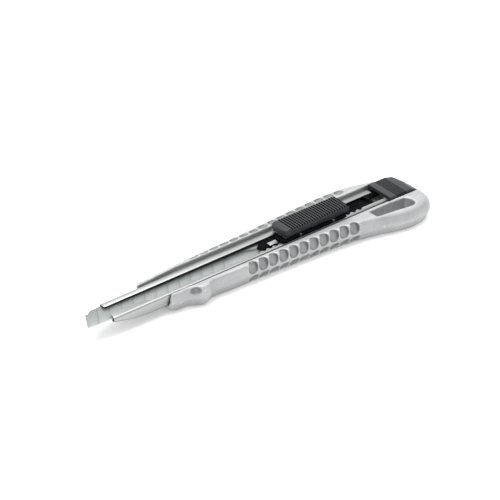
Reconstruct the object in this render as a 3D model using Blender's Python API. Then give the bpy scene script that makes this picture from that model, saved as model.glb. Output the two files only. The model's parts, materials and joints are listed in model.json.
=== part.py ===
"""Snap-off utility knife with a die-cast handle, a steel blade rail and a self-locking thumb slider.

Frame: +X to the butt of the handle, -X to the blade tip, +Z up (slider side), +Y the spine side of the
blade. z = 0 is the flat underside, y = 0 is the middle of the blade, x = 0 is near the middle of the length.
Lengths below are in millimetres. The rest pose has the blade about 12 mm out of the rail.
"""

import math

import bmesh
import bpy

MM = 0.001

# Stations along the length are counted from the blade tip; heights from the flat underside.
TIP_TO_MIDDLE = 74.8

# Blade: 9 mm snap-off strip with a score every 5 mm at 60 degrees
BLADE_WIDTH = 9.0
BLADE_LENGTH = 80.0
BLADE_THICKNESS = 0.38
BLADE_MID_Z = 6.95
BLADE_LEAN = 0.0065
SCORE_PITCH = 5.0
SCORE_COUNT = 12
SCORE_SLOPE = math.tan(math.radians(60.0))
TAIL_HOLE = (78.8, -0.3, 1.2)

# Rail: folded steel sheet, open on top between two lips
RAIL_FRONT = 11.4
RAIL_REAR = 135.0
FAR_LIP_REAR = 133.5
RAIL_HALF = 5.3
RAIL_SHEET = 0.4
RAIL_TOP = 8.0
RAIL_BOTTOM = 3.3
RAIL_NOSE = (
    (11.4, 5.80), (12.7, 5.45), (14.4, 4.95), (16.4, 4.45), (18.6, 3.98), (21.2, 3.60), (24.2, 3.36),
)
NOSE_SLANT = 0.16
NOSE_DROP = 0.30
NOSE_DROP_END = 45.0
LIP_EDGE = 2.3
TOOTH_PITCH = 2.8
TOOTH_TIP = -3.7
TOOTH_ROOT = -4.45
TOOTH_FIRST = 26.8
TOOTH_COUNT = 35

# Handle
TOP_Z = 8.6
PART_Z = 4.0
SLOT_HALF = 6.55
SLOT_FLOOR = 6.4
TROUGH_HALF = 5.5
TROUGH_FLOOR = 3.0
POCKET_HALF = 6.7
POCKET_FRONT = 133.75
FAR_WALL_END = 139.0
OUTLINE = (
    (31.4, 0.0), (32.4, -3.4), (33.3, -5.8), (35.2, -7.1), (38.2, -7.5), (41.0, -7.7), (43.2, -8.9),
    (45.8, -10.3), (48.4, -10.2), (51.0, -8.8), (53.6, -8.7), (60.0, -9.1), (70.0, -9.5), (84.0, -10.1),
    (98.0, -10.8), (110.0, -11.6), (118.0, -12.7), (125.0, -14.4), (131.0, -16.2), (136.0, -17.2),
    (141.0, -17.1), (146.2, -15.5), (149.4, -12.3), (150.5, -8.0), (150.6, -4.0), (150.4, -0.6),
    (149.6, 2.4), (147.6, 5.0), (143.6, 6.8), (138.6, 8.1), (134.0, 9.5), (129.0, 10.8), (123.0, 11.6),
    (116.0, 11.9), (108.0, 11.6), (98.0, 11.1), (88.0, 10.5), (76.0, 9.8), (64.0, 9.3), (52.0, 8.9),
    (44.0, 8.4), (37.0, 8.0), (31.4, 7.6), (29.3, 7.0), (28.8, 6.0), (29.8, 3.2),
)
# (height, inset from the outline on the grip, inset on the flared tail)
LEVELS = (
    (0.0, 2.2, 2.2), (0.5, 1.5, 1.4), (3.8, 0.12, 0.15), (4.1, 0.0, 0.0), (7.4, 0.15, 1.0),
    (8.3, 0.45, 2.2), (8.6, 1.0, 4.2),
)
# (station of the first scoop, how many, pitch)
NEAR_SCOOPS = (68.7, 11, 4.48)
FAR_SCOOPS = (55.2, 16, 4.56)
FINGER_DIMPLE = ((42.9, -9.5, 7.1), (2.2, 2.3, 1.7))
LANYARD_HOLE = (
    (124.2, -7.9), (138.8, -8.0), (140.6, -8.8), (141.7, -10.9), (141.3, -13.0), (139.6, -14.0),
    (137.8, -13.9), (131.5, -12.9), (124.9, -12.1), (123.7, -11.3), (123.5, -8.7),
)

# Carrier, lock spring and slider cap
CAP_FRONT = 86.9
CAP_REAR = 117.3
CAP_HALF = 4.15
CAP_BOTTOM = 9.3
CAP_TOP = 12.0
CAP_RIB_PITCH = 1.17
CAP_RIB_FIRST = 90.6
CAP_RIB_COUNT = 23
BASE_HALF = 5.3
TABS = (93.8, 109.2)
LEAF_SHEET = 0.3
LEAF_Z = 7.92
PLATE_Z = 9.02
LEAF_WIDTH = (-2.9, -0.95)
LEAF_ROOM = (-3.05, -0.8)

# End cap
END_HALF = 6.45
END_TOP = 8.9
REAR_WALL = 144.8
END_RIB_PITCH = 0.72
END_RIB_FIRST = 138.5
END_RIB_COUNT = 7

COLOURS = {
    "handle": ((0.66, 0.67, 0.68), 0.9, 0.45),
    "blade_rail": ((0.72, 0.73, 0.74), 1.0, 0.25),
    "blade": ((0.62, 0.66, 0.67), 1.0, 0.3),
    "blade_carrier": ((0.02, 0.02, 0.022), 0.0, 0.5),
    "lock_spring": ((0.6, 0.6, 0.61), 1.0, 0.3),
    "slider_cap": ((0.03, 0.03, 0.032), 0.0, 0.55),
    "end_cap": ((0.035, 0.035, 0.038), 0.0, 0.5),
}


def at(x, y, z):
    """A point given in millimetres from the blade tip, as a point of the frame in metres."""
    return ((x - TIP_TO_MIDDLE) * MM, y * MM, z * MM)


def clear_scene():
    for obj in list(bpy.data.objects):
        bpy.data.objects.remove(obj, do_unlink=True)


def material(name):
    colour, metallic, roughness = COLOURS[name]
    made = bpy.data.materials.new(name)
    made.use_nodes = True
    shader = made.node_tree.nodes["Principled BSDF"]
    shader.inputs["Base Color"].default_value = (*colour, 1.0)
    shader.inputs["Metallic"].default_value = metallic
    shader.inputs["Roughness"].default_value = roughness
    return made


def finish_mesh(name, points, faces):
    """An object of these points (mm, from the blade tip) and faces, with its normals facing out."""
    mesh = bpy.data.meshes.new(name)
    mesh.from_pydata([at(*p) for p in points], [], faces)
    work = bmesh.new()
    work.from_mesh(mesh)
    bmesh.ops.remove_doubles(work, verts=work.verts, dist=1e-7)
    bmesh.ops.triangulate(work, faces=[f for f in work.faces if len(f.verts) > 4])
    bmesh.ops.recalc_face_normals(work, faces=work.faces)
    work.to_mesh(mesh)
    work.free()
    obj = bpy.data.objects.new(name, mesh)
    bpy.context.scene.collection.objects.link(obj)
    return obj


def loft(name, rings):
    """A closed solid through rings that hold the same number of points, capped at both ends."""
    count = len(rings[0])
    points = [p for ring in rings for p in ring]
    faces = [tuple(reversed(range(count)))]
    for i in range(len(rings) - 1):
        for j in range(count):
            k = (j + 1) % count
            faces.append((i * count + j, i * count + k, (i + 1) * count + k, (i + 1) * count + j))
    faces.append(tuple(range((len(rings) - 1) * count, len(rings) * count)))
    return finish_mesh(name, points, faces)


def upright(name, outline, low, high):
    """A prism of a plan outline between two heights."""
    return loft(name, [[(x, y, z) for x, y in outline] for z in (low, high)])


def across(name, profile, near, far):
    """A prism of an (x, z) side profile between two widths."""
    return loft(name, [[(x, y, z) for x, z in profile] for y in (near, far)])


def box(name, x0, x1, y0, y1, z0, z1):
    return upright(name, ((x0, y0), (x1, y0), (x1, y1), (x0, y1)), z0, z1)


def join_meshes(name, objects):
    """One helper object that holds the separate closed meshes of the objects."""
    work = bmesh.new()
    for obj in objects:
        work.from_mesh(obj.data)
        bpy.data.objects.remove(obj, do_unlink=True)
    mesh = bpy.data.meshes.new(name)
    work.to_mesh(mesh)
    work.free()
    joined = bpy.data.objects.new(name, mesh)
    bpy.context.scene.collection.objects.link(joined)
    return joined


def apply_boolean(target, tool, operation):
    """Applies the Boolean to the target's mesh and removes the tool."""
    modifier = target.modifiers.new("bool", "BOOLEAN")
    modifier.operation = operation
    modifier.solver = "EXACT"
    modifier.object = tool
    graph = bpy.context.evaluated_depsgraph_get()
    mesh = bpy.data.meshes.new_from_object(target.evaluated_get(graph))
    target.modifiers.remove(modifier)
    target.data = mesh
    bpy.data.objects.remove(tool, do_unlink=True)


def cut(target, tool):
    apply_boolean(target, tool, "DIFFERENCE")


def add(target, tool):
    apply_boolean(target, tool, "UNION")


def paint(obj, smooth_degrees=0.0):
    obj.data.materials.clear()
    obj.data.materials.append(material(obj.name))
    if smooth_degrees:
        obj.data.shade_smooth()
        obj.data.set_sharp_from_angle(angle=math.radians(smooth_degrees))


def smooth_loop(points, steps):
    """A closed curve through the points, with this many steps between neighbours."""
    curve = []
    count = len(points)
    for i in range(count):
        a, b, c, d = (points[(i + k - 1) % count] for k in range(4))
        for s in range(steps):
            t = s / steps
            curve.append(tuple(
                0.5 * (2 * b[n] + (c[n] - a[n]) * t + (2 * a[n] - 5 * b[n] + 4 * c[n] - d[n]) * t * t
                       + (3 * b[n] - a[n] - 3 * c[n] + d[n]) * t ** 3)
                for n in (0, 1)
            ))
    return curve


def inset_loop(points, distances):
    """The loop moved inwards along its normals by a distance for each point."""
    moved = []
    count = len(points)
    for i in range(count):
        before, here, after = points[i - 1], points[i], points[(i + 1) % count]
        tx, ty = after[0] - before[0], after[1] - before[1]
        size = math.hypot(tx, ty)
        moved.append((here[0] - ty / size * distances[i], here[1] + tx / size * distances[i]))
    return moved


def ramp(value, start, end):
    t = min(max((value - start) / (end - start), 0.0), 1.0)
    return t * t * (3 - 2 * t)


def raked(x, limit):
    """Moves a station in front of the limit back to just short of it, so that no two points meet."""
    return limit - 0.08 * (limit - x) if x < limit else x


def nose_share(x, y):
    """How much of a level's inset is taken at a point: little round the narrow far nose, all of it elsewhere."""
    return 0.3 + 0.7 * ramp(x, 28.5, 36.0) if y > 1.0 else 1.0


def hull_ring(height, grip_inset, tail_inset):
    """One level of the handle: the outline drawn in, the chin raked back and the nose top lowered."""
    outline = smooth_loop(OUTLINE, 2)
    tail = [ramp(x, 114.0, 132.0) * ramp(-y, 1.0, 7.0) for x, y in outline]
    insets = [
        (grip_inset + (tail_inset - grip_inset) * t) * nose_share(x, y) for (x, y), t in zip(outline, tail)
    ]
    ring = []
    for (x, y), t in zip(inset_loop(outline, insets), tail):
        if height < 0.2:
            x = raked(x, 37.0)
        elif height < 1.0:
            x = raked(x, 35.2)
        elif height > PART_Z and y < -2.0:
            x = raked(x, 34.2)
        z = height
        if height > 7.0:
            z -= 0.45 * (1 - ramp(x, 30.0, 48.0)) + 0.35 * t
        ring.append((x, y, z))
    return ring


def scoop(name, x, side, edge_y, lower):
    """A cutter for one finger scoop, driven in square to a shoulder or to the lower bevel."""
    half_x = 1.9
    if lower:
        centre = (edge_y - 1.5, 2.1)
        normal = (0.80, -0.60)
        half_t, floor, reach = 1.55, -0.80, 2.0
    elif side < 0:
        centre = (edge_y - 0.75, 6.6)
        normal = (0.90, 0.44)
        half_t, floor, reach = 2.15, -0.62, 3.2
    else:
        centre = (max(edge_y - 2.35, 7.8), TOP_Z - 0.1)
        normal = (0.20, 0.98)
        half_t, floor, reach = min(1.3, centre[0] - 7.0), -0.5, 1.6
    along = (-normal[1], normal[0])
    rings = []
    for depth, scale in ((floor, 0.72), (floor + 0.5, 1.0), (reach, 1.0)):
        ring = []
        for i in range(10):
            turn = 2 * math.pi * (i + 0.5) / 10
            t = math.sin(turn) * half_t * scale
            y = centre[0] + normal[0] * depth + along[0] * t
            z = centre[1] + normal[1] * depth + along[1] * t
            ring.append((x + math.cos(turn) * half_x * scale, side * y, z))
        rings.append(ring)
    return loft(name, rings)


def ellipsoid(name, centre_and_radii):
    """A faceted ellipsoid with its long axis upright."""
    (cx, cy, cz), (rx, ry, rz) = centre_and_radii
    rings = []
    for i in range(1, 12):
        tilt = math.pi * i / 12
        wide, z = math.sin(tilt), cz - rz * math.cos(tilt)
        turns = [2 * math.pi * k / 16 for k in range(16)]
        rings.append([(cx + rx * wide * math.cos(t), cy + ry * wide * math.sin(t), z) for t in turns])
    return loft(name, rings)


def edge_at(x, side):
    """Half width of the handle outline at a station on one side."""
    outline = smooth_loop(OUTLINE, 4)
    near = min(
        (p for p in outline if p[1] * side > 4.0),
        key=lambda p: abs(p[0] - x),
    )
    return abs(near[1])


def handle():
    body = loft("handle", [hull_ring(*level) for level in LEVELS])
    slot = (
        (25.0, -5.75), (31.0, -5.75), (46.0, -SLOT_HALF), (POCKET_FRONT + 1, -SLOT_HALF),
        (POCKET_FRONT + 1, SLOT_HALF), (46.0, SLOT_HALF), (31.0, 5.75), (25.0, 5.75),
    )
    cut(body, upright("cut_slot", slot, SLOT_FLOOR, 12.0))
    cut(body, box("cut_trough", 25.0, POCKET_FRONT + 1, -TROUGH_HALF, TROUGH_HALF, TROUGH_FLOOR, 12.0))
    cut(body, box("cut_pocket", POCKET_FRONT, 160.0, -POCKET_HALF, POCKET_HALF, TROUGH_FLOOR, 12.0))
    cut(body, box("cut_far_wall", FAR_WALL_END, 160.0, 0.0, 12.0, TROUGH_FLOOR, 12.0))
    cut(body, upright("cut_hole", LANYARD_HOLE, -2.0, 12.0))
    scoops = []
    for side, (first, count, pitch) in ((-1, NEAR_SCOOPS), (1, FAR_SCOOPS)):
        for i in range(count):
            x = first + pitch * i
            edge = edge_at(x, side)
            scoops.append(scoop(f"scoop{side}{i}", x, side, edge, False))
            scoops.append(scoop(f"low{side}{i}", x + 1.0, side, edge, True))
    cut(body, join_meshes("cut_scoops", scoops))
    cut(body, ellipsoid("cut_dimple", FINGER_DIMPLE))
    paint(body, 32)


def rail_section(x, bottom):
    """The folded sheet cut across at one station. The lips come down a little towards the nose."""
    outer, inner = RAIL_HALF, RAIL_HALF - RAIL_SHEET
    top = RAIL_TOP - NOSE_DROP * max(0.0, 1 - (x - RAIL_FRONT) / (NOSE_DROP_END - RAIL_FRONT))
    under = top - RAIL_SHEET
    floor = bottom + RAIL_SHEET * 0.75
    half = (
        (outer - 0.25, bottom), (outer, bottom + 0.45), (outer, top - 0.8), (outer - 0.23, top - 0.25),
        (outer - 0.8, top), (LIP_EDGE, top), (LIP_EDGE, under), (inner - 0.4, under),
        (inner, under - 0.4), (inner, floor),
    )
    slant = NOSE_SLANT if x < 12.0 else 0.0
    right = [(x + slant * y, y, z) for y, z in half]
    left = [(x - slant * y, -y, z) for y, z in reversed(half)]
    return right + left


def blade_rail():
    straight = [(x, RAIL_BOTTOM) for x in (27.5, NOSE_DROP_END, RAIL_REAR)]
    rail = loft("blade_rail", [rail_section(x, z) for x, z in (*RAIL_NOSE, *straight)])
    teeth = [(22.0, -LIP_EDGE + 0.4), (22.0, -LIP_EDGE), (24.4, -3.0), (TOOTH_FIRST - 0.4, TOOTH_TIP)]
    for i in range(TOOTH_COUNT):
        x = TOOTH_FIRST + TOOTH_PITCH * i
        teeth += [(x + 0.2, TOOTH_ROOT), (x + 0.9, TOOTH_ROOT), (x + 1.9, TOOTH_TIP), (x + 2.4, TOOTH_TIP)]
    teeth += [(RAIL_REAR + 1, TOOTH_TIP), (RAIL_REAR + 1, -LIP_EDGE + 0.4)]
    cut(rail, upright("cut_teeth", teeth, RAIL_TOP - RAIL_SHEET - 0.4, RAIL_TOP + 0.3))
    corner = ((-1.0, 1.0), (1.2, 1.0), (-0.1, 3.3), (-1.0, 3.3))
    for side in (-1, 1):
        outline = [(RAIL_FRONT + x + side * NOSE_SLANT * y, side * y) for x, y in corner]
        cut(rail, upright("cut_corner", outline, RAIL_TOP - RAIL_SHEET - 0.4, RAIL_TOP + 0.3))
    cut(rail, box("cut_far_lip", FAR_LIP_REAR, RAIL_REAR + 1, 1.0, 6.0, RAIL_TOP - 0.85, RAIL_TOP + 0.3))
    paint(rail, 35)


def blade():
    """The scored strip. It leans down towards its tail, so that the gap under the lips widens."""
    half, top, under = BLADE_WIDTH / 2, BLADE_MID_Z + BLADE_THICKNESS / 2, BLADE_MID_Z - BLADE_THICKNESS / 2
    tail = BLADE_LENGTH + BLADE_WIDTH / SCORE_SLOPE
    grind = -half + 1.1

    def front(y):
        return (y + half) / SCORE_SLOPE

    def back(y):
        return BLADE_LENGTH + (y + half) / SCORE_SLOPE

    flat = [(front(3.2), 3.2), (front(3.2) + 0.9, 3.1), (7.6, half), (tail, half)]
    faces_at = [(front(grind), grind), *flat, (back(grind), grind)]
    edge = [(0.0, -half), (BLADE_LENGTH, -half)]
    points = [(x, y, top) for x, y in faces_at] + [(x, y, under) for x, y in faces_at]
    points += [(x, y, BLADE_MID_Z + dz) for dz in (0.02, -0.02) for x, y in edge]
    n = len(faces_at)
    faces = [tuple(range(n)), tuple(reversed(range(n, 2 * n)))]
    for i in range(n - 1):
        faces.append((i, i + 1, n + i + 1, n + i))
    a, b, c, d = (2 * n + i for i in range(4))
    faces += [(n - 1, 0, a, b), (2 * n - 1, n, c, d), (a, b, d, c)]
    faces += [(0, n, c, a), (n - 1, 2 * n - 1, d, b)]
    strip = finish_mesh("blade", points, faces)
    scores = []
    for i in range(1, SCORE_COUNT + 1):
        groove = []
        for dx, z in ((-0.14, top + 0.05), (0.14, top + 0.05), (0.0, top - 0.12)):
            groove.append((dx, z))
        rings = []
        for y in (-half - 0.3, half + 0.3):
            x = SCORE_PITCH * i + (y + half) / SCORE_SLOPE
            rings.append([(x + dx, y, z) for dx, z in groove])
        scores.append(loft(f"score{i}", rings))
    cut(strip, join_meshes("cut_scores", scores))
    x, y, r = TAIL_HOLE
    hole = [(x + r * math.cos(k * math.pi / 8), y + r * math.sin(k * math.pi / 8)) for k in range(16)]
    cut(strip, upright("cut_tail_hole", hole, under - 1, top + 1))
    for vertex in strip.data.vertices:
        vertex.co.z -= BLADE_LEAN * (vertex.co.x + TIP_TO_MIDDLE * MM)
    paint(strip)


def blade_carrier():
    carrier = box("blade_carrier", 85.9, 128.2, -4.4, 4.4, 4.85, 7.12)
    add(carrier, box("under_blade", 72.0, 86.2, -4.4, 4.4, 4.85, 6.05))
    tongue = ((77.0, -2.9), (79.6, 1.9), (90.0, 1.9), (90.0, -2.9))
    add(carrier, upright("tongue", tongue, 6.8, 7.55))
    add(carrier, box("tail", 127.5, 131.4, -4.4, 4.4, 4.85, 6.0))
    x, y, _ = TAIL_HOLE
    pin = [(x + 1.0 * math.cos(k * math.pi / 8), y + 1.0 * math.sin(k * math.pi / 8)) for k in range(16)]
    add(carrier, upright("pin", pin, 5.9, 6.95))
    add(carrier, box("neck", 86.6, 117.0, -3.1, 2.0, 7.0, 8.3))
    base = (
        (85.3, -4.5), (86.6, -BASE_HALF), (115.0, -BASE_HALF), (115.0, BASE_HALF), (89.2, BASE_HALF),
        (88.6, 3.6), (86.4, 0.8), (85.3, -1.0),
    )
    add(carrier, upright("base", base, 8.2, 8.75))
    add(carrier, box("ridge", 116.0, 125.4, -0.1, 0.7, 7.0, 7.4))
    cut(carrier, box("leaf_room", 86.0, 88.1, *LEAF_ROOM, 7.5, 8.25))
    cut(carrier, box("riser_room", 87.2, 88.1, *LEAF_ROOM, 7.5, 9.0))
    for x in TABS:
        for side in (-1, 1):
            near, far = sorted((side * 4.7, side * 6.0))
            cut(carrier, box("tab_notch", x - 0.45, x + 0.45, near, far, 8.0, 9.0))
    paint(carrier)


def lock_spring():
    """A leaf in front of the slider, a riser through the carrier and a plate under the cap, with four tabs."""
    half = LEAF_SHEET / 2
    spring = box("lock_spring", 81.4, 87.8, *LEAF_WIDTH, LEAF_Z - half, LEAF_Z + half)
    add(spring, box("riser", 87.5, 87.8, *LEAF_WIDTH, LEAF_Z - half, PLATE_Z + half))
    add(spring, box("plate", 87.5, 114.4, -3.9, 3.9, PLATE_Z - half, PLATE_Z + half))
    pawl = ((83.5, LEAF_WIDTH[0] + 0.1), (84.2, -3.25), (84.6, -3.25), (85.1, LEAF_WIDTH[0] + 0.1))
    add(spring, upright("pawl", pawl, LEAF_Z - half, LEAF_Z + half + 0.06))
    for x in TABS:
        for side in (-1, 1):
            near, far = sorted((side * 3.6, side * 5.2))
            add(spring, box("tab_arm", x - 0.3, x + 0.3, near, far, PLATE_Z - half, PLATE_Z + half))
            near, far = sorted((side * 4.88, side * 5.2))
            add(spring, box("tab", x - 0.3, x + 0.3, near, far, 8.25, PLATE_Z + half))
    paint(spring)


def groove(name, x, half_top, half_floor, top, depth, reach):
    """A cutter for a groove across the knife, a little wider at the top than at its floor."""
    profile = (
        (x - half_top, top + 0.3), (x - half_floor, top - depth), (x + half_floor, top - depth),
        (x + half_top, top + 0.3),
    )
    return across(name, profile, -reach, reach)


def slider_cap():
    profile = (
        (87.0, 9.6), (87.5, CAP_BOTTOM), (116.6, CAP_BOTTOM), (CAP_REAR, 9.9), (CAP_REAR, 11.2),
        (116.6, CAP_TOP), (88.2, CAP_TOP), (87.3, 11.7), (86.9, 10.7),
    )
    rings = []
    for y in (-CAP_HALF, -CAP_HALF + 0.3, -2.0, 0.0, 2.0, CAP_HALF - 0.3, CAP_HALF):
        edge = abs(y) > CAP_HALF - 0.1
        bulge = 0.9 * (1 - (y / CAP_HALF) ** 2)
        ring = []
        for x, z in profile:
            if x < 90.0:
                x += 0.9 - bulge
            if edge and z > 11.0:
                z -= 0.25
            ring.append((x, y, z))
        rings.append(ring)
    cap = loft("slider_cap", rings)
    grooves = []
    for i in range(CAP_RIB_COUNT):
        x = CAP_RIB_FIRST + CAP_RIB_PITCH * i
        grooves.append(groove(f"groove{i}", x, 0.36, 0.18, CAP_TOP, 0.55, CAP_HALF + 0.5))
    cut(cap, join_meshes("cut_grooves", grooves))
    paint(cap)


def end_outline(inset):
    """Plan of the end cap: straight sides and a rear edge that follows the butt of the handle."""
    h = END_HALF - inset
    rear = (
        (143.6 - inset, h), (146.0 - inset, 5.2 - inset), (147.7 - inset, 3.2 - inset * 0.6),
        (148.6 - inset, 0.6), (148.9 - inset, -2.4), (148.9 - inset, -h),
    )
    return ((135.5, -h), (135.5, h), *rear)


def end_cap():
    cap = upright("end_cap", end_outline(0.0), 6.2, END_TOP - 0.3)
    add(cap, upright("top", end_outline(0.28), 8.0, END_TOP))
    for side in (-1, 1):
        near, far = sorted((side * 4.75, side * 6.4))
        add(cap, box("leg", 135.5, 142.6, near, far, 3.3, 7.0))
    wall = upright("rear_wall", end_outline(0.15), 3.3, 6.4)
    cut(wall, box("cut_wall", 130.0, REAR_WALL, -8.0, 8.0, 3.0, 7.0))
    add(cap, wall)
    cut(cap, box("tail_room", 133.0, 141.2, -4.75, 4.75, 3.0, 7.55))
    slope = ((144.6, END_TOP + 1), (146.4, END_TOP - 0.35), (149.0, END_TOP - 1.6), (149.0, END_TOP + 1))
    cut(cap, across("rear_slope", slope, -8.0, 8.0))
    grooves = []
    for i in range(END_RIB_COUNT):
        x = END_RIB_FIRST + END_RIB_PITCH * i
        grooves.append(groove(f"rib{i}", x, 0.24, 0.12, END_TOP, 0.32, 8.0))
    cut(cap, join_meshes("cut_ribs", grooves))
    cut(cap, box("snap_slot", 146.2, 150.0, 0.0, 0.6, 6.9, END_TOP + 1))
    paint(cap)


clear_scene()
handle()
blade_rail()
blade()
blade_carrier()
lock_spring()
slider_cap()
end_cap()
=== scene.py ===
"""Looks of a snap-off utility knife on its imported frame: fine handle, materials, floor, light, camera."""

import json
import math

import bmesh
import bpy
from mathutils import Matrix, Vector

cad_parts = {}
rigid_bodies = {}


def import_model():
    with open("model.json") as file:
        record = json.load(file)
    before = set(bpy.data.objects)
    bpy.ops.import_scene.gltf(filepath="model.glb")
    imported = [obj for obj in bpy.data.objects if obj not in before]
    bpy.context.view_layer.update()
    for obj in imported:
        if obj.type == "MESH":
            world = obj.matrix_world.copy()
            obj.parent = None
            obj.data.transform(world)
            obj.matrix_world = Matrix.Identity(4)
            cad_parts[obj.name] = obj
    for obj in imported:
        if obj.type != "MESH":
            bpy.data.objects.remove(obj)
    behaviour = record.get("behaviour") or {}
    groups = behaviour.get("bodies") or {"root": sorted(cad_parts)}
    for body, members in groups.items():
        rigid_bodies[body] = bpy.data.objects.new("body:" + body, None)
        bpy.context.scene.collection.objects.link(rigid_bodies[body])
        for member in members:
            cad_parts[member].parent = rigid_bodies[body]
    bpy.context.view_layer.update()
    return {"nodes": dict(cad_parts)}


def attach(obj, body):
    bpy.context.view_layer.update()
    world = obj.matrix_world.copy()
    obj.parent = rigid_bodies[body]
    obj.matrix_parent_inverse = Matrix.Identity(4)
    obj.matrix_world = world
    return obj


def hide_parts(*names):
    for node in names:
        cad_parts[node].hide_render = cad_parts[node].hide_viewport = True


MM = 0.001

# Frame: x is counted from the blade tip, y from the middle of the blade, z from the flat underside, in mm
TIP_TO_MIDDLE = 74.8

# Handle: plan outline at the parting line, and how each level draws in from it
OUTLINE = (
    (31.4, 0.0), (32.4, -3.4), (33.3, -5.8), (35.2, -7.1), (38.2, -7.5), (41.0, -7.7), (43.2, -8.9),
    (45.8, -10.3), (48.4, -10.2), (51.0, -8.8), (53.6, -8.7), (60.0, -9.1), (70.0, -9.5), (84.0, -10.1),
    (98.0, -10.8), (110.0, -11.6), (118.0, -12.7), (125.0, -14.4), (131.0, -16.2), (136.0, -17.2),
    (141.0, -17.1), (146.2, -15.5), (149.4, -12.3), (150.5, -8.0), (150.6, -4.0), (150.4, -0.6),
    (149.6, 2.4), (147.6, 5.0), (143.6, 6.8), (138.6, 8.1), (134.0, 9.5), (129.0, 10.8), (123.0, 11.6),
    (116.0, 11.9), (108.0, 11.6), (98.0, 11.1), (88.0, 10.5), (76.0, 9.8), (64.0, 9.3), (52.0, 8.9),
    (44.0, 8.4), (37.0, 8.0), (31.4, 7.6), (29.3, 7.0), (28.8, 6.0), (29.8, 3.2),
)
OUTLINE_STEPS = 6
# (height, inset from the outline on the grip, inset on the flared tail)
LEVELS = (
    (0.0, 2.2, 2.2), (0.15, 1.85, 1.75), (0.5, 1.5, 1.4), (1.6, 1.1, 0.95), (2.8, 0.55, 0.45),
    (3.8, 0.12, 0.12), (4.1, 0.0, 0.0), (5.2, 0.02, 0.2), (6.4, 0.07, 0.6), (7.4, 0.15, 1.1),
    (7.9, 0.26, 1.55), (8.25, 0.46, 2.2), (8.48, 0.78, 3.1), (8.6, 1.2, 4.4),
)
# How much of the inset the narrow far nose takes, and where the tail's own inset comes in
NOSE_SIDE = 1.0
NOSE_SHARE = 0.3
NOSE_STATIONS = (28.5, 36.0)
TAIL_STATIONS = (114.0, 132.0)
TAIL_SIDES = (1.0, 7.0)
# Front faces: the chin leans back towards its foot, and the near top stands behind the outline
CHIN_HEIGHT = 2.0
CHIN_FOOT = 37.2
CHIN_SLOPE = 2.2
NEAR_TOP_FRONT = 34.2
NEAR_TOP_SIDE = -2.0
RAKE_SQUEEZE = 0.08
# The upper levels dip at the nose and on the flared tail
DIP_HEIGHT = 7.0
NOSE_DIP = 0.45
NOSE_DIP_STATIONS = (30.0, 48.0)
TAIL_DIP = 0.35
TOP_Z = 8.6
PART_Z = 4.0
CUT_FRONT = 25.0
CUT_REAR = 160.0
CUT_SIDE = 12.0
CUT_TOP = 12.0
HOLE_CUT_BOTTOM = -2.0
SLOT_FRONT_HALF = 5.75
SLOT_FLARE = (31.0, 46.0)
SLOT_HALF = 6.55
SLOT_FLOOR = 6.4
TROUGH_HALF = 5.5
TROUGH_FLOOR = 3.0
POCKET_HALF = 6.7
POCKET_FRONT = 133.75
FAR_WALL_END = 139.0
CAST_VOXEL = 0.32
CAST_SMOOTHING = 4
# (station of the first scoop, how many, pitch)
NEAR_SCOOPS = (68.7, 11, 4.48)
FAR_SCOOPS = (55.2, 16, 4.56)
SCOOP_SIDES = 24
SCOOP_HALF_X = 1.95
SCOOP_CORNER = 2.4
LOW_SCOOP_SHIFT = 1.0
# (distance in from the outline, height, half height) of a scoop's centre
SCOOP_SEATS = {"low": (1.5, 2.1, 1.6), "near": (0.75, 6.6, 2.2), "far": (2.35, TOP_Z - 0.1, 1.3)}
FAR_SCOOP_NEAREST = 7.8
FAR_SCOOP_WALL = 6.95
# (share of the scoop's size, rise above its floor) of each ring of the dish
SCOOP_DISH = ((0.45, 0.0), (0.68, 0.03), (0.80, 0.12), (0.90, 0.32), (1.0, 0.6))
SCOOP_MOUTH = 1.06
SCOOP_NORMALS = {"low": (0.80, -0.60), "near": (0.90, 0.44), "far": (0.20, 0.98)}
# (floor, outer end) of each cutter along its axis
SCOOP_DEPTHS = {"low": (-0.90, 2.0), "near": (-0.75, 3.2), "far": (-0.52, 1.6)}
# Painted shade in the recesses: distances in mm, radii as shares of the scoop's or the dimple's
RECESS_INNER_SIDE = 6.0
RECESS_MARGIN = 3.0
RECESS_RADIUS = 1.12
RIM_RADIUS = 0.92
RIM_FADE = (0.06, 0.22)
FLOOR_RADIUS = 0.95
DIMPLE_TONE = 0.5
DIMPLE_FADE = (0.85, 1.2)
DEPTH_OF_RIM = {"low": 0.35, "near": 0.75, "far": 0.2}
RECESS_FLOOR = {"low": 0.80, "near": 0.30, "far": 0.65}
RECESS_SHADE = 0.52
FINGER_DIMPLE = ((42.9, -9.5, 7.1), (2.2, 2.3, 1.7))
LANYARD_HOLE = (
    (124.2, -7.9), (138.8, -8.0), (140.6, -8.8), (141.7, -10.9), (141.3, -13.0), (139.6, -14.0),
    (137.8, -13.9), (131.5, -12.9), (124.9, -12.1), (123.7, -11.3), (123.5, -8.7),
)

# Rail: where its cut edges are, which take a near-black material, partly their own colour and partly painted
# shade
LIP_FACE_LIMIT = 4.5
LIP_HEIGHTS = (7.2, 8.1)
RAIL_FRONT_END = 12.6

# Grip grooves that get painted shade: (stations, heights)
THUMB_GROOVES = ((90.0, 117.2), (11.3, 11.93))
BUTT_GROOVES = ((138.0, 143.2), (8.5, 8.86))

# Camera, light and floor
CAMERA_AZIMUTH = -39.14
CAMERA_ELEVATION = 31.84
CAMERA_DISTANCE = 1.0
CAMERA_AIM = (-2.8 * MM, 0.0, 7.0 * MM)
CAMERA_LENS = 203.87
CAMERA_SHIFT = (0.011, 0.0068)
SKY_PEAK = (160.0, 50.0)
SKY_SPREAD = (0.1, 1.0)
SKY_LOW = 0.85
SKY_HIGH = 1.45
KEY_FROM = (175.0, 78.0)
KEY_DISTANCE = 1.6
KEY_SIZE = 1.3
KEY_POWER = 22.0
FLOOR_HALF = 6.0
FLOOR_Z = -0.0001
FLOOR_GLOW = 0.20


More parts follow.
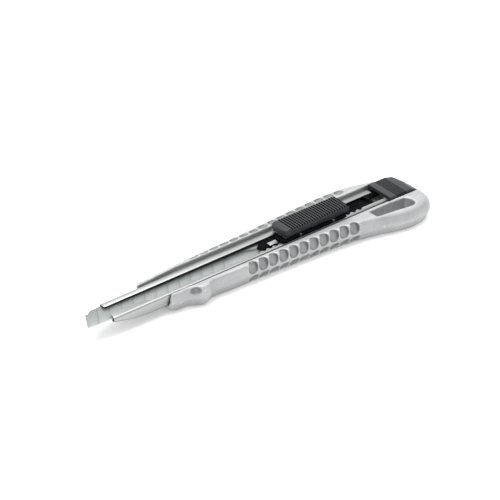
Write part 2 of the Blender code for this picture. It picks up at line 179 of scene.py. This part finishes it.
def at(x, y, z):
    """A point given in millimetres from the blade tip, as a point of the frame in metres."""
    return ((x - TIP_TO_MIDDLE) * MM, y * MM, z * MM)


# Meshes

def finish_mesh(name, points, faces):
    """An object of these points (mm, from the blade tip) and faces, with its normals facing out."""
    mesh = bpy.data.meshes.new(name)
    mesh.from_pydata([at(*p) for p in points], [], faces)
    work = bmesh.new()
    work.from_mesh(mesh)
    bmesh.ops.remove_doubles(work, verts=work.verts, dist=1e-7)
    bmesh.ops.recalc_face_normals(work, faces=work.faces)
    work.to_mesh(mesh)
    work.free()
    obj = bpy.data.objects.new(name, mesh)
    bpy.context.scene.collection.objects.link(obj)
    return obj


def loft(name, rings):
    """A closed solid through rings that hold the same number of points, capped at both ends."""
    count = len(rings[0])
    points = [p for ring in rings for p in ring]
    faces = [tuple(reversed(range(count)))]
    for i in range(len(rings) - 1):
        for j in range(count):
            k = (j + 1) % count
            faces.append((i * count + j, i * count + k, (i + 1) * count + k, (i + 1) * count + j))
    faces.append(tuple(range((len(rings) - 1) * count, len(rings) * count)))
    return finish_mesh(name, points, faces)


def upright(name, outline, low, high):
    """A prism of a plan outline between two heights."""
    return loft(name, [[(x, y, z) for x, y in outline] for z in (low, high)])


def box(name, x0, x1, y0, y1, z0, z1):
    return upright(name, ((x0, y0), (x1, y0), (x1, y1), (x0, y1)), z0, z1)


def join_meshes(name, objects):
    """One helper object that holds the separate closed meshes of the objects."""
    work = bmesh.new()
    for obj in objects:
        work.from_mesh(obj.data)
        bpy.data.objects.remove(obj, do_unlink=True)
    mesh = bpy.data.meshes.new(name)
    work.to_mesh(mesh)
    work.free()
    joined = bpy.data.objects.new(name, mesh)
    bpy.context.scene.collection.objects.link(joined)
    return joined


def bake_modifiers(obj):
    """Replaces the object's mesh with what its modifiers make of it."""
    graph = bpy.context.evaluated_depsgraph_get()
    mesh = bpy.data.meshes.new_from_object(obj.evaluated_get(graph))
    obj.modifiers.clear()
    obj.data = mesh


def cut(target, tool):
    modifier = target.modifiers.new("cut", "BOOLEAN")
    modifier.operation = "DIFFERENCE"
    modifier.solver = "EXACT"
    modifier.object = tool
    bake_modifiers(target)
    bpy.data.objects.remove(tool, do_unlink=True)


def soften(obj, voxel, iterations):
    """Remeshes the solid evenly and rounds its edges, as a casting or moulding has them."""
    remesh = obj.modifiers.new("remesh", "REMESH")
    remesh.mode = "VOXEL"
    remesh.voxel_size = voxel * MM
    bake_modifiers(obj)
    smooth = obj.modifiers.new("smooth", "SMOOTH")
    smooth.factor = 0.5
    smooth.iterations = iterations
    bake_modifiers(obj)
    obj.data.shade_smooth()


def smooth_loop(points, steps):
    """A closed curve through the points, with this many steps between neighbours."""
    curve = []
    count = len(points)
    for i in range(count):
        a, b, c, d = (points[(i + k - 1) % count] for k in range(4))
        for s in range(steps):
            t = s / steps
            curve.append(tuple(
                0.5 * (2 * b[n] + (c[n] - a[n]) * t + (2 * a[n] - 5 * b[n] + 4 * c[n] - d[n]) * t * t
                       + (3 * b[n] - a[n] - 3 * c[n] + d[n]) * t ** 3)
                for n in (0, 1)
            ))
    return curve


def inset_loop(points, distances):
    """The loop moved inwards along its normals by a distance for each point."""
    moved = []
    count = len(points)
    for i in range(count):
        before, here, after = points[i - 1], points[i], points[(i + 1) % count]
        tx, ty = after[0] - before[0], after[1] - before[1]
        size = math.hypot(tx, ty)
        moved.append((here[0] - ty / size * distances[i], here[1] + tx / size * distances[i]))
    return moved


def ramp(value, start, end):
    t = min(max((value - start) / (end - start), 0.0), 1.0)
    return t * t * (3 - 2 * t)


def raked(x, limit):
    """Moves a station in front of the limit back to just short of it, so that no two points meet."""
    return limit - RAKE_SQUEEZE * (limit - x) if x < limit else x


def nose_share(x, y):
    """The share of a level's inset taken at a point: little round the narrow far nose, else all of it."""
    return NOSE_SHARE + (1 - NOSE_SHARE) * ramp(x, *NOSE_STATIONS) if y > NOSE_SIDE else 1.0


def hull_ring(height, grip_inset, tail_inset):
    """One level of the handle: the outline drawn in, its front raked back, nose and tail tops lowered."""
    outline = smooth_loop(OUTLINE, OUTLINE_STEPS)
    tail = [ramp(x, *TAIL_STATIONS) * ramp(-y, *TAIL_SIDES) for x, y in outline]
    insets = [
        (grip_inset + (tail_inset - grip_inset) * t) * nose_share(x, y) for (x, y), t in zip(outline, tail)
    ]
    ring = []
    for (x, y), t in zip(inset_loop(outline, insets), tail):
        if height < CHIN_HEIGHT:
            x = raked(x, CHIN_FOOT - height * CHIN_SLOPE)
        elif height > PART_Z and y < NEAR_TOP_SIDE:
            x = raked(x, NEAR_TOP_FRONT)
        z = height
        if height > DIP_HEIGHT:
            z -= NOSE_DIP * (1 - ramp(x, *NOSE_DIP_STATIONS)) + TAIL_DIP * t
        ring.append((x, y, z))
    return ring


def scoop_row(side, lower):
    return "low" if lower else "near" if side < 0 else "far"


def scoop_centre(x, row, edge_y):
    """Station, distance from the middle, height and half height of one scoop's centre."""
    inset, height, half_height = SCOOP_SEATS[row]
    y = edge_y - inset
    if row == "far":
        y = max(y, FAR_SCOOP_NEAREST)
        half_height = min(half_height, y - FAR_SCOOP_WALL)
    return x, y, height, half_height


def scoop(side, row, place):
    """A cutter for one finger scoop: a dished plug driven in square to the shoulder or to the lower bevel."""
    x, cy, cz, half_t = place
    normal = SCOOP_NORMALS[row]
    floor, reach = SCOOP_DEPTHS[row]
    along = (-normal[1], normal[0])
    levels = [(floor + rise, scale) for scale, rise in SCOOP_DISH] + [(reach, SCOOP_MOUTH)]
    rings = []
    for depth, scale in levels:
        ring = []
        for i in range(SCOOP_SIDES):
            turn = 2 * math.pi * i / SCOOP_SIDES
            c, s = math.cos(turn), math.sin(turn)
            square = (abs(c) ** SCOOP_CORNER + abs(s) ** SCOOP_CORNER) ** (-1 / SCOOP_CORNER)
            t = s * square * half_t * scale
            y = cy + normal[0] * depth + along[0] * t
            z = cz + normal[1] * depth + along[1] * t
            ring.append((x + c * square * SCOOP_HALF_X * scale, side * y, z))
        rings.append(ring)
    return loft("scoop", rings)


def ellipsoid(name, centre_and_radii):
    (cx, cy, cz), (rx, ry, rz) = centre_and_radii
    rings = []
    for i in range(1, 24):
        tilt = math.pi * i / 24
        wide, z = math.sin(tilt), cz - rz * math.cos(tilt)
        turns = [2 * math.pi * k / 32 for k in range(32)]
        rings.append([(cx + rx * wide * math.cos(t), cy + ry * wide * math.sin(t), z) for t in turns])
    return loft(name, rings)


def edge_at(x, side):
    """Half width of the handle outline at a station on one side."""
    outline = [p for p in smooth_loop(OUTLINE, OUTLINE_STEPS) if p[1] * side > 4.0]
    return abs(min(outline, key=lambda p: abs(p[0] - x))[1])


def paint_recess_shade(obj, rows):
    """Gives each vertex the painted shade of the scoop or the finger dimple that it lies in, 0 outside them.
    """
    painted_shade = obj.data.attributes.new("recess", "FLOAT", "POINT")
    for vertex in obj.data.vertices:
        x, y, z = vertex.co.x / MM + TIP_TO_MIDDLE, vertex.co.y / MM, vertex.co.z / MM
        painted_shade.data[vertex.index].value = max(scoops_tone(rows, x, y, z), dimple_tone(x, y, z))


def scoops_tone(rows, x, y, z):
    """The painted shade that the first row of scoops to reach a point gives it."""
    for row, side, centres in rows:
        within = centres[0][0] - RECESS_MARGIN < x < centres[-1][0] + RECESS_MARGIN
        if y * side < RECESS_INNER_SIDE or not within:
            continue
        here = min(centres, key=lambda c: abs(c[0] - x))
        depth, radius = scoop_place(row, side, here, x, y, z)
        if depth < DEPTH_OF_RIM[row]:
            return recess_tone(row, radius)
    return 0.0


def dimple_tone(x, y, z):
    """The painted shade of the finger dimple at a point, fading out round its edge."""
    (cx, cy, cz), (rx, ry, rz) = FINGER_DIMPLE
    off = math.sqrt(((x - cx) / rx) ** 2 + ((y - cy) / ry) ** 2 + ((z - cz) / rz) ** 2)
    return DIMPLE_TONE * (1.0 - ramp(off, *DIMPLE_FADE))


def scoop_place(row, side, centre, x, y, z):
    """How far out along a scoop's axis a point lies, in mm, and how far off it, as a share of its radius."""
    station, cy, cz, half_t = centre
    normal = SCOOP_NORMALS[row]
    dy, dz = side * y - cy, z - cz
    across_it = (dz * normal[0] - dy * normal[1]) / half_t
    along_it = (x - station) / SCOOP_HALF_X
    radius = (abs(along_it) ** SCOOP_CORNER + abs(across_it) ** SCOOP_CORNER) ** (1 / SCOOP_CORNER)
    return dy * normal[0] + dz * normal[1], radius


def recess_tone(row, radius):
    """The painted shade at a share of a scoop's radius: 1 along the rim, less on the floor, 0 outside."""
    if radius > RECESS_RADIUS:
        return 0.0
    rim = 1.0 - ramp(abs(radius - RIM_RADIUS), *RIM_FADE)
    return max(rim, RECESS_FLOOR[row] if radius < FLOOR_RADIUS else 0.0)


def cut_rail_seat(body):
    """Cuts the slot and trough that hold the rail, the end cap's pocket and the gap in the far wall."""
    slot_end = POCKET_FRONT + 1
    near_side = (
        (CUT_FRONT, -SLOT_FRONT_HALF), (SLOT_FLARE[0], -SLOT_FRONT_HALF),
        (SLOT_FLARE[1], -SLOT_HALF), (slot_end, -SLOT_HALF),
    )
    slot = near_side + tuple((x, -y) for x, y in reversed(near_side))
    cut(body, upright("cut_slot", slot, SLOT_FLOOR, CUT_TOP))
    cut(body, box("cut_trough", CUT_FRONT, slot_end, -TROUGH_HALF, TROUGH_HALF, TROUGH_FLOOR, CUT_TOP))
    cut(body, box("cut_pocket", POCKET_FRONT, CUT_REAR, -POCKET_HALF, POCKET_HALF, TROUGH_FLOOR, CUT_TOP))
    cut(body, box("cut_far_wall", FAR_WALL_END, CUT_REAR, 0.0, CUT_SIDE, TROUGH_FLOOR, CUT_TOP))


def scoop_rows():
    """(row, side, centres) of the two rows on each side: shoulder scoops, then those in the lower bevel."""
    rows = []
    for side, (first, count, pitch) in ((-1, NEAR_SCOOPS), (1, FAR_SCOOPS)):
        stations = [first + pitch * i for i in range(count)]
        for lower in (False, True):
            row = scoop_row(side, lower)
            shift = LOW_SCOOP_SHIFT if lower else 0.0
            rows.append((row, side, [scoop_centre(x + shift, row, edge_at(x, side)) for x in stations]))
    return rows


def cast_handle():
    """The handle as a fine mesh with soft edges and its recesses marked for painted shade."""
    body = loft("cast_handle", [hull_ring(*level) for level in LEVELS])
    cut_rail_seat(body)
    cut(body, upright("cut_hole", smooth_loop(LANYARD_HOLE, 4), HOLE_CUT_BOTTOM, CUT_TOP))
    rows = scoop_rows()
    scoops = [scoop(side, row, place) for row, side, places in rows for place in places]
    cut(body, join_meshes("cut_scoops", scoops))
    cut(body, ellipsoid("cut_dimple", FINGER_DIMPLE))
    soften(body, CAST_VOXEL, CAST_SMOOTHING)
    paint_recess_shade(body, rows)
    return body


def refined(name, node, bevel, segments=2, corner=28.0):
    """A copy of a CAD node with its flat faces whole again and its edges rounded."""
    work = bmesh.new()
    work.from_mesh(frame["nodes"][node].data)
    bmesh.ops.remove_doubles(work, verts=work.verts, dist=2e-7)
    bmesh.ops.dissolve_limit(
        work, angle_limit=math.radians(0.6), use_dissolve_boundaries=False, verts=work.verts, edges=work.edges
    )
    work.verts.ensure_lookup_table()
    points = [v.co.copy() for v in work.verts]
    faces = [[v.index for v in f.verts] for f in work.faces]
    work.free()
    mesh = bpy.data.meshes.new(name)
    mesh.from_pydata(points, [], faces)
    obj = bpy.data.objects.new(name, mesh)
    bpy.context.scene.collection.objects.link(obj)
    edges = obj.modifiers.new("bevel", "BEVEL")
    edges.width = bevel * MM
    edges.segments = segments
    edges.limit_method = "ANGLE"
    edges.angle_limit = math.radians(corner)
    bake_modifiers(obj)
    obj.data.shade_smooth()
    obj.data.set_sharp_from_angle(angle=math.radians(50))
    return obj


# Materials

class Look:
    """A node material on the object's own coordinates in millimetres."""

    def __init__(self, name, colour, metallic, roughness):
        self.material = bpy.data.materials.new(name)
        self.material.use_nodes = True
        self.tree = self.material.node_tree
        self.shader = self.tree.nodes["Principled BSDF"]
        self.shader.inputs["Base Color"].default_value = (*colour, 1.0)
        self.shader.inputs["Metallic"].default_value = metallic
        self.shader.inputs["Roughness"].default_value = roughness
        self.colour = colour
        self.coords = self.tree.nodes.new("ShaderNodeTexCoord")
        self.height = None

    def link(self, a, b):
        self.tree.links.new(a, b)

    def noise(self, size, detail=3.0, roughness=0.6):
        """Noise whose grains measure size (x, y, z) in mm."""
        mapping = self.tree.nodes.new("ShaderNodeMapping")
        mapping.inputs["Scale"].default_value = [1.0 / (s * MM) for s in size]
        self.link(self.coords.outputs["Object"], mapping.inputs["Vector"])
        made = self.tree.nodes.new("ShaderNodeTexNoise")
        made.inputs["Scale"].default_value = 1.0
        made.inputs["Detail"].default_value = detail
        made.inputs["Roughness"].default_value = roughness
        self.link(mapping.outputs["Vector"], made.inputs["Vector"])
        return made.outputs["Fac"]

    def attribute(self, name):
        made = self.tree.nodes.new("ShaderNodeAttribute")
        made.attribute_name = name
        return made.outputs["Fac"]

    def spread(self, source, low, high, start=0.3, end=0.7):
        """The source's values from start to end, remapped from low to high."""
        made = self.tree.nodes.new("ShaderNodeMapRange")
        for key, value in (("From Min", start), ("From Max", end), ("To Min", low), ("To Max", high)):
            made.inputs[key].default_value = value
        self.link(source, made.inputs["Value"])
        return made.outputs["Result"]

    def math(self, operation, a, b):
        made = self.tree.nodes.new("ShaderNodeMath")
        made.operation = operation
        for socket, value in zip(made.inputs, (a, b)):
            if isinstance(value, float):
                socket.default_value = value
            else:
                self.link(value, socket)
        return made.outputs["Value"]

    def tint(self, factors):
        """Multiplies the base colour by the product of the factors."""
        product = factors[0]
        for factor in factors[1:]:
            product = self.math("MULTIPLY", product, factor)
        made = self.tree.nodes.new("ShaderNodeVectorMath")
        made.operation = "SCALE"
        made.inputs[0].default_value = self.colour
        self.link(product, made.inputs["Scale"])
        self.link(made.outputs["Vector"], self.shader.inputs["Base Color"])

    def roughen(self, source):
        self.link(source, self.shader.inputs["Roughness"])

    def bump(self, source, depth):
        """Adds a bump of this depth in mm to those already on the material."""
        made = self.tree.nodes.new("ShaderNodeBump")
        made.inputs["Strength"].default_value = 1.0
        made.inputs["Distance"].default_value = depth * MM
        self.link(source, made.inputs["Height"])
        if self.height is not None:
            self.link(self.height, made.inputs["Normal"])
        self.height = made.outputs["Normal"]
        self.link(self.height, self.shader.inputs["Normal"])

    def edges(self, low, high, start, end):
        """A factor from the surface's pointiness: low in concave creases, high along convex edges."""
        geometry = self.tree.nodes.new("ShaderNodeNewGeometry")
        return self.spread(geometry.outputs["Pointiness"], low, high, start, end)


def cast_metal():
    look = Look("cast_metal", (0.415, 0.422, 0.425), 0.5, 0.5)
    grain = look.noise((0.45, 0.45, 0.45), 4.0, 0.7)
    cloud = look.noise((7.0, 7.0, 7.0), 2.0, 0.5)
    # Pointiness tint: painted shade in concave creases, lighter along convex edges
    crease_shade_and_edge_light = look.edges(0.72, 1.15, 0.46, 0.55)
    # Painted shade in the scoops and the finger dimple, from the recess attribute
    recess = look.spread(look.attribute("recess"), 1.0, RECESS_SHADE, 0.0, 1.0)
    look.tint([look.spread(grain, 0.78, 1.16), look.spread(cloud, 0.95, 1.04), crease_shade_and_edge_light, recess])
    look.roughen(look.spread(grain, 0.42, 0.60))
    look.bump(grain, 0.10)
    look.bump(cloud, 0.10)
    return look.material


def satin_steel():
    look = Look("satin_steel", (0.345, 0.348, 0.348), 1.0, 0.34)
    brush = look.noise((14.0, 0.10, 0.10), 3.0, 0.6)
    smear = look.noise((9.0, 1.6, 1.6), 2.0, 0.5)
    look.tint([look.spread(brush, 0.93, 1.05), look.spread(smear, 0.96, 1.03)])
    look.roughen(look.spread(brush, 0.30, 0.46))
    look.bump(brush, 0.006)
    look.shader.inputs["Anisotropic"].default_value = 0.4
    return look.material


def blade_steel():
    look = Look("blade_steel", (0.305, 0.321, 0.319), 0.85, 0.4)
    grind = look.noise((0.09, 5.0, 0.3), 3.0, 0.6)
    smear = look.noise((4.0, 2.5, 2.5), 2.0, 0.5)
    look.tint([look.spread(grind, 0.95, 1.04), look.spread(smear, 0.96, 1.03)])
    look.roughen(look.spread(grind, 0.36, 0.48))
    look.bump(grind, 0.001)
    return look.material


def black_plastic(name, colour, roughness, gloss):
    look = Look(name, colour, 0.0, roughness)
    look.shader.inputs["Specular IOR Level"].default_value = gloss
    grain = look.noise((0.16, 0.16, 0.16), 2.0, 0.5)
    smear = look.noise((5.0, 3.0, 3.0), 2.0, 0.5)
    # Pointiness tint: darker in concave creases, lighter along convex edges
    edge_tint = look.edges(0.9, 1.7, 0.50, 0.58)
    look.tint([look.spread(grain, 0.85, 1.15), look.spread(smear, 0.9, 1.1), edge_tint])
    look.roughen(look.spread(smear, roughness - 0.06, roughness + 0.08))
    look.bump(grain, 0.02)
    return look.material


def spring_steel():
    look = Look("spring_steel", (0.36, 0.36, 0.362), 1.0, 0.26)
    brush = look.noise((3.0, 0.08, 0.08), 3.0, 0.6)
    look.tint([look.spread(brush, 0.94, 1.05)])
    look.roughen(look.spread(brush, 0.2, 0.34))
    look.bump(brush, 0.004)
    return look.material


def dark_cut_edges_and_shade(obj, material):
    """Gives the upright cut edges of the rail's lips, and its front ends, a near-black material: partly the
    sheared edges' own dark colour, partly painted shade of the gap under the lips.
    """
    obj.data.materials.append(material)
    for face in obj.data.polygons:
        x, y, z = (c / MM for c in face.center)
        at_lip = LIP_HEIGHTS[0] < z < LIP_HEIGHTS[1] and abs(y) < LIP_FACE_LIMIT
        across_lip = at_lip and abs(face.normal.z) < 0.6
        front_end = x < RAIL_FRONT_END - TIP_TO_MIDDLE and face.normal.x < -0.6
        if across_lip or front_end:
            face.material_index = 1


def paint_groove_shade(obj, material, stations, heights):
    """Gives the floors and walls of the grip grooves a blacker plastic: painted shade in the grooves."""
    obj.data.materials.append(material)
    for face in obj.data.polygons:
        x, z = face.center.x / MM + TIP_TO_MIDDLE, face.center.z / MM
        inside = stations[0] < x < stations[1] and heights[0] < z < heights[1]
        if inside and abs(face.normal.y) < 0.5:
            face.material_index = 1


def cut_edge_dark_and_shade():
    # Near-black cut-edge steel: partly the sheared edges' own dark colour, partly painted shade of the gap
    # under the rail's lips
    look = Look("cut_edge_dark_and_shade", (0.045, 0.047, 0.05), 0.6, 0.5)
    tear = look.noise((0.12, 0.12, 0.5), 2.0, 0.6)
    look.tint([look.spread(tear, 0.7, 1.3)])
    look.bump(tear, 0.01)
    return look.material


def dress(obj, material, body, slot, *nodes):
    """Gives a piece its material and its CAD body, and hides the CAD nodes that it stands for; the slot
    argument is not used.
    """
    obj.data.materials.clear()
    obj.data.materials.append(material)
    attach(obj, body)
    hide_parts(*nodes)


def build_knife():
    black = black_plastic("carrier_plastic", (0.0016, 0.002, 0.0028), 0.6, 0.02)
    dress(cast_handle(), cast_metal(), "grip", "handle", "handle")
    rail = refined("steel_rail", "blade_rail", 0.06)
    dress(rail, satin_steel(), "grip", "blade_rail", "blade_rail")
    dark_cut_edges_and_shade(rail, cut_edge_dark_and_shade())
    dress(refined("scored_blade", "blade", 0.015, 1, 20.0), blade_steel(), "slider", "blade", "blade")
    dress(refined("carrier", "blade_carrier", 0.10), black, "slider", "blade_carrier", "blade_carrier")
    dress(refined("leaf_spring", "lock_spring", 0.04), spring_steel(), "slider", "lock_spring", "lock_spring")
    cap = black_plastic("thumb_plastic", (0.015, 0.017, 0.020), 0.5, 0.32)
    thumb = refined("thumb_piece", "slider_cap", 0.10)
    dress(thumb, cap, "slider", "slider_cap", "slider_cap")
    paint_groove_shade(thumb, black, *THUMB_GROOVES)
    butt = black_plastic("butt_plastic", (0.017, 0.019, 0.021), 0.5, 0.30)
    cap_at_butt = refined("butt_cap", "end_cap", 0.05)
    dress(cap_at_butt, butt, "butt", "end_cap", "end_cap")
    paint_groove_shade(cap_at_butt, black, *BUTT_GROOVES)


# Studio

def direction(azimuth, elevation):
    """Unit vector from the object towards a viewpoint. Azimuth 0 is the -Y side and 90 the +X side."""
    a, e = math.radians(azimuth), math.radians(elevation)
    return Vector((math.sin(a) * math.cos(e), -math.cos(a) * math.cos(e), math.sin(e)))


def camera():
    data = bpy.data.cameras.new("camera")
    data.lens = CAMERA_LENS
    data.sensor_width = 36.0
    data.shift_x, data.shift_y = CAMERA_SHIFT
    data.clip_start = 0.05
    data.clip_end = 20.0
    obj = bpy.data.objects.new("camera", data)
    bpy.context.scene.collection.objects.link(obj)
    back = direction(CAMERA_AZIMUTH, CAMERA_ELEVATION)
    obj.location = Vector(CAMERA_AIM) + back * CAMERA_DISTANCE
    obj.rotation_mode = "QUATERNION"
    obj.rotation_quaternion = (-back).to_track_quat("-Z", "Y")
    bpy.context.scene.camera = obj


def softbox(name, azimuth, elevation, distance, width, height, power):
    data = bpy.data.lights.new(name, "AREA")
    data.shape = "RECTANGLE"
    data.size = width
    data.size_y = height
    data.energy = power
    obj = bpy.data.objects.new(name, data)
    bpy.context.scene.collection.objects.link(obj)
    back = direction(azimuth, elevation)
    obj.location = back * distance
    obj.rotation_mode = "QUATERNION"
    obj.rotation_quaternion = (-back).to_track_quat("-Z", "Y")


def lit_world():
    """A white sky, brightest towards SKY_PEAK."""
    world = bpy.data.worlds.new("studio")
    bpy.context.scene.world = world
    world.use_nodes = True
    sky = world.node_tree.nodes["Background"]
    tree = world.node_tree
    coords = tree.nodes.new("ShaderNodeTexCoord")
    toward = tree.nodes.new("ShaderNodeVectorMath")
    toward.operation = "DOT_PRODUCT"
    toward.inputs[1].default_value = direction(*SKY_PEAK)
    tree.links.new(coords.outputs["Generated"], toward.inputs[0])
    glow = tree.nodes.new("ShaderNodeMapRange")
    glow.interpolation_type = "SMOOTHSTEP"
    for key, value in zip(("From Min", "From Max", "To Min", "To Max"), (*SKY_SPREAD, SKY_LOW, SKY_HIGH)):
        glow.inputs[key].default_value = value
    tree.links.new(toward.outputs["Value"], glow.inputs["Value"])
    tree.links.new(glow.outputs["Result"], sky.inputs["Strength"])
    sky.inputs["Color"].default_value = (1.0, 1.0, 1.0, 1.0)


def paper_floor():
    """A white paper floor that glows a little, for the photo's white ground."""
    mesh = bpy.data.meshes.new("floor")
    square = ((-1, -1), (1, -1), (1, 1), (-1, 1))
    mesh.from_pydata([(x * FLOOR_HALF, y * FLOOR_HALF, FLOOR_Z) for x, y in square], [], [(0, 1, 2, 3)])
    floor = bpy.data.objects.new("floor", mesh)
    bpy.context.scene.collection.objects.link(floor)
    paper = Look("paper", (0.93, 0.93, 0.93), 0.0, 0.9)
    paper.shader.inputs["Specular IOR Level"].default_value = 0.1
    paper.shader.inputs["Emission Color"].default_value = (1.0, 1.0, 1.0, 1.0)
    paper.shader.inputs["Emission Strength"].default_value = FLOOR_GLOW
    paper.tint([paper.spread(paper.noise((60.0, 60.0, 60.0), 2.0), 0.995, 1.0)])
    mesh.materials.append(paper.material)


def studio():
    lit_world()
    paper_floor()
    softbox("key", *KEY_FROM, KEY_DISTANCE, KEY_SIZE, KEY_SIZE, KEY_POWER)
    bpy.context.scene.view_settings.view_transform = "Standard"


for leftover in list(bpy.data.objects):
    bpy.data.objects.remove(leftover, do_unlink=True)
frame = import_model()
camera()
studio()
build_knife()
